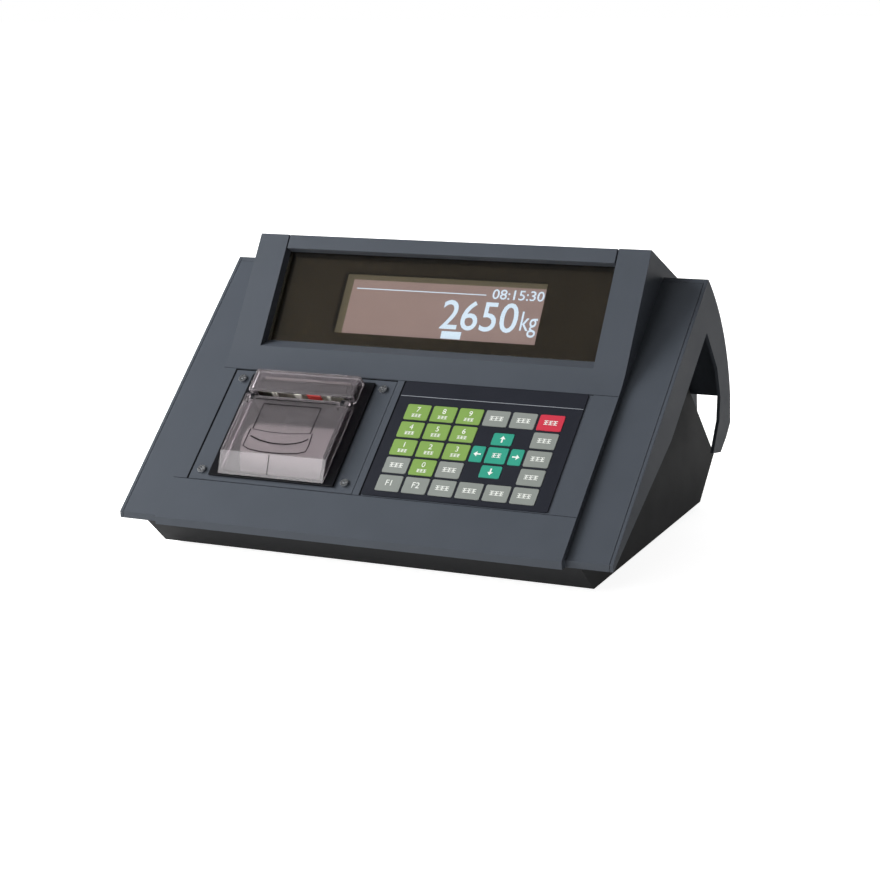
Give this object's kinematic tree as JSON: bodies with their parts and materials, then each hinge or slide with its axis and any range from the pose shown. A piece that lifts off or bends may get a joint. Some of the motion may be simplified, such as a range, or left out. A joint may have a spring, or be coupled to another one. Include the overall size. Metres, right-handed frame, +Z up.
{
  "type": "weighing indicator",
  "caption": "Desktop weighing indicator with display hood, sloping membrane keypad, lidded panel printer, side wings with grab bars and rear sockets",
  "frame": {"origin": "middle of the footprint box, on the plane the rubber feet stand on", "axes": "+X to the operator's right along the width, +Y from the front lip to the rear sockets, +Z up"},
  "size_m": [0.308, 0.2078, 0.1628],
  "materials": {
    "shell_plastic": "fine-grained moulded slate grey",
    "tray_plastic": "fine-grained near-black",
    "window_acrylic": "tinted, glossy",
    "lcd_glass": "matt liquid crystal panel",
    "black_plastic": "satin black",
    "circuit_board": "green laminate",
    "smoky_clear": "smoky clear polycarbonate",
    "paper": "white paper",
    "platen_rubber": "black rubber",
    "foot_rubber": "matt black rubber",
    "steel": "bright",
    "overlay_film": "textured polyester film",
    "key_green": "printed film",
    "key_grey": "printed film",
    "key_teal": "printed film",
    "key_red": "printed film",
    "dome_film": "clear film with domes"
  },
  "bodies": {
    "case": {"base_tray": "tray_plastic", "top_shell": "shell_plastic", "side_frame_right": "shell_plastic", "side_frame_left": "shell_plastic", "hood_visor": "shell_plastic", "display_window": "window_acrylic", "lcd_bezel": "black_plastic", "lcd_glass": "lcd_glass", "lcd_board": "circuit_board", "insert_panel": "shell_plastic", "keypad_overlay": "overlay_film", "dome_sheet": "dome_film", "key_board": "circuit_board", "printer_plate": "shell_plastic", "printer_screws": "steel", "printer_bucket": "black_plastic", "paper_spindle": "black_plastic", "print_head": "steel", "printer_rear_cover": "smoky_clear", "rear_panel": "steel", "signal_sockets": "steel", "mains_inlet": "black_plastic", "switch_frame": "black_plastic", "main_board": "circuit_board", "power_supply": "steel", "rubber_feet": "foot_rubber", "case_screws": "steel"},
    "printer_door": {"printer_door": "smoky_clear"},
    "paper_roll": {"paper_roll": "paper"},
    "platen_roller": {"platen_roller": "platen_rubber"},
    "switch_rocker": {"switch_rocker": "black_plastic"},
    "key_a1": {"key_a1": "key_grey"},
    "key_a2": {"key_a2": "key_grey"},
    "key_a3": {"key_a3": "key_grey"},
    "key_a4": {"key_a4": "key_grey"},
    "key_a5": {"key_a5": "key_grey"},
    "key_a6": {"key_a6": "key_grey"},
    "key_b1": {"key_b1": "key_grey"},
    "key_b2": {"key_b2": "key_green"},
    "key_b3": {"key_b3": "key_grey"},
    "key_c1": {"key_c1": "key_green"},
    "key_d1": {"key_d1": "key_green"},
    "key_e1": {"key_e1": "key_green"},
    "key_c2": {"key_c2": "key_green"},
    "key_d2": {"key_d2": "key_green"},
    "key_e2": {"key_e2": "key_green"},
    "key_c3": {"key_c3": "key_green"},
    "key_d3": {"key_d3": "key_green"},
    "key_e3": {"key_e3": "key_green"},
    "key_b6": {"key_b6": "key_grey"},
    "key_c6": {"key_c6": "key_grey"},
    "key_d6": {"key_d6": "key_grey"},
    "key_e4": {"key_e4": "key_grey"},
    "key_e5": {"key_e5": "key_grey"},
    "key_e6": {"key_e6": "key_red"},
    "key_left": {"key_left": "key_teal"},
    "key_enter": {"key_enter": "key_teal"},
    "key_right": {"key_right": "key_teal"},
    "key_up": {"key_up": "key_teal"},
    "key_down": {"key_down": "key_teal"}
  },
  "joints": [
    {"name": "printer_door_hinge", "type": "hinge", "parent": "case", "child": "printer_door", "pos_m": [-0.063, -0.04237, 0.08139], "axis": [-1, 0, 0], "range_deg": [0, 80]},
    {"name": "paper_roll_spin", "type": "hinge", "parent": "case", "child": "paper_roll", "pos_m": [-0.063, -0.04687, 0.04836], "axis": [1, 0, 0], "continuous": true},
    {"name": "platen_roller_spin", "type": "hinge", "parent": "case", "child": "platen_roller", "pos_m": [-0.063, -0.03251, 0.08573], "axis": [1, 0, 0], "continuous": true},
    {"name": "switch_rocker_tilt", "type": "hinge", "parent": "case", "child": "switch_rocker", "pos_m": [-0.038, 0.09755, 0.065], "axis": [1, 0, 0], "range_deg": [-14, 0]},
    {"name": "key_a1_press", "type": "slide", "parent": "case", "child": "key_a1", "axis": [0, 0.6273, -0.7788], "range_m": [0, 0.0004], "stiffness_N_per_m": 1000},
    {"name": "key_a2_press", "type": "slide", "parent": "case", "child": "key_a2", "axis": [0, 0.6273, -0.7788], "range_m": [0, 0.0004], "stiffness_N_per_m": 1000},
    {"name": "key_a3_press", "type": "slide", "parent": "case", "child": "key_a3", "axis": [0, 0.6273, -0.7788], "range_m": [0, 0.0004], "stiffness_N_per_m": 1000},
    {"name": "key_a4_press", "type": "slide", "parent": "case", "child": "key_a4", "axis": [0, 0.6273, -0.7788], "range_m": [0, 0.0004], "stiffness_N_per_m": 1000},
    {"name": "key_a5_press", "type": "slide", "parent": "case", "child": "key_a5", "axis": [0, 0.6273, -0.7788], "range_m": [0, 0.0004], "stiffness_N_per_m": 1000},
    {"name": "key_a6_press", "type": "slide", "parent": "case", "child": "key_a6", "axis": [0, 0.6273, -0.7788], "range_m": [0, 0.0004], "stiffness_N_per_m": 1000},
    {"name": "key_b1_press", "type": "slide", "parent": "case", "child": "key_b1", "axis": [0, 0.6273, -0.7788], "range_m": [0, 0.0004], "stiffness_N_per_m": 1000},
    {"name": "key_b2_press", "type": "slide", "parent": "case", "child": "key_b2", "axis": [0, 0.6273, -0.7788], "range_m": [0, 0.0004], "stiffness_N_per_m": 1000},
    {"name": "key_b3_press", "type": "slide", "parent": "case", "child": "key_b3", "axis": [0, 0.6273, -0.7788], "range_m": [0, 0.0004], "stiffness_N_per_m": 1000},
    {"name": "key_c1_press", "type": "slide", "parent": "case", "child": "key_c1", "axis": [0, 0.6273, -0.7788], "range_m": [0, 0.0004], "stiffness_N_per_m": 1000},
    {"name": "key_d1_press", "type": "slide", "parent": "case", "child": "key_d1", "axis": [0, 0.6273, -0.7788], "range_m": [0, 0.0004], "stiffness_N_per_m": 1000},
    {"name": "key_e1_press", "type": "slide", "parent": "case", "child": "key_e1", "axis": [0, 0.6273, -0.7788], "range_m": [0, 0.0004], "stiffness_N_per_m": 1000},
    {"name": "key_c2_press", "type": "slide", "parent": "case", "child": "key_c2", "axis": [0, 0.6273, -0.7788], "range_m": [0, 0.0004], "stiffness_N_per_m": 1000},
    {"name": "key_d2_press", "type": "slide", "parent": "case", "child": "key_d2", "axis": [0, 0.6273, -0.7788], "range_m": [0, 0.0004], "stiffness_N_per_m": 1000},
    {"name": "key_e2_press", "type": "slide", "parent": "case", "child": "key_e2", "axis": [0, 0.6273, -0.7788], "range_m": [0, 0.0004], "stiffness_N_per_m": 1000},
    {"name": "key_c3_press", "type": "slide", "parent": "case", "child": "key_c3", "axis": [0, 0.6273, -0.7788], "range_m": [0, 0.0004], "stiffness_N_per_m": 1000},
    {"name": "key_d3_press", "type": "slide", "parent": "case", "child": "key_d3", "axis": [0, 0.6273, -0.7788], "range_m": [0, 0.0004], "stiffness_N_per_m": 1000},
    {"name": "key_e3_press", "type": "slide", "parent": "case", "child": "key_e3", "axis": [0, 0.6273, -0.7788], "range_m": [0, 0.0004], "stiffness_N_per_m": 1000},
    {"name": "key_b6_press", "type": "slide", "parent": "case", "child": "key_b6", "axis": [0, 0.6273, -0.7788], "range_m": [0, 0.0004], "stiffness_N_per_m": 1000},
    {"name": "key_c6_press", "type": "slide", "parent": "case", "child": "key_c6", "axis": [0, 0.6273, -0.7788], "range_m": [0, 0.0004], "stiffness_N_per_m": 1000},
    {"name": "key_d6_press", "type": "slide", "parent": "case", "child": "key_d6", "axis": [0, 0.6273, -0.7788], "range_m": [0, 0.0004], "stiffness_N_per_m": 1000},
    {"name": "key_e4_press", "type": "slide", "parent": "case", "child": "key_e4", "axis": [0, 0.6273, -0.7788], "range_m": [0, 0.0004], "stiffness_N_per_m": 1000},
    {"name": "key_e5_press", "type": "slide", "parent": "case", "child": "key_e5", "axis": [0, 0.6273, -0.7788], "range_m": [0, 0.0004], "stiffness_N_per_m": 1000},
    {"name": "key_e6_press", "type": "slide", "parent": "case", "child": "key_e6", "axis": [0, 0.6273, -0.7788], "range_m": [0, 0.0004], "stiffness_N_per_m": 1000},
    {"name": "key_left_press", "type": "slide", "parent": "case", "child": "key_left", "axis": [0, 0.6273, -0.7788], "range_m": [0, 0.0004], "stiffness_N_per_m": 1000},
    {"name": "key_enter_press", "type": "slide", "parent": "case", "child": "key_enter", "axis": [0, 0.6273, -0.7788], "range_m": [0, 0.0004], "stiffness_N_per_m": 1000},
    {"name": "key_right_press", "type": "slide", "parent": "case", "child": "key_right", "axis": [0, 0.6273, -0.7788], "range_m": [0, 0.0004], "stiffness_N_per_m": 1000},
    {"name": "key_up_press", "type": "slide", "parent": "case", "child": "key_up", "axis": [0, 0.6273, -0.7788], "range_m": [0, 0.0004], "stiffness_N_per_m": 1000},
    {"name": "key_down_press", "type": "slide", "parent": "case", "child": "key_down", "axis": [0, 0.6273, -0.7788], "range_m": [0, 0.0004], "stiffness_N_per_m": 1000}
  ],
  "couplings": [
    {"joint": "platen_roller_spin", "follows": "paper_roll_spin", "ratio": -5.1429}
  ]
}
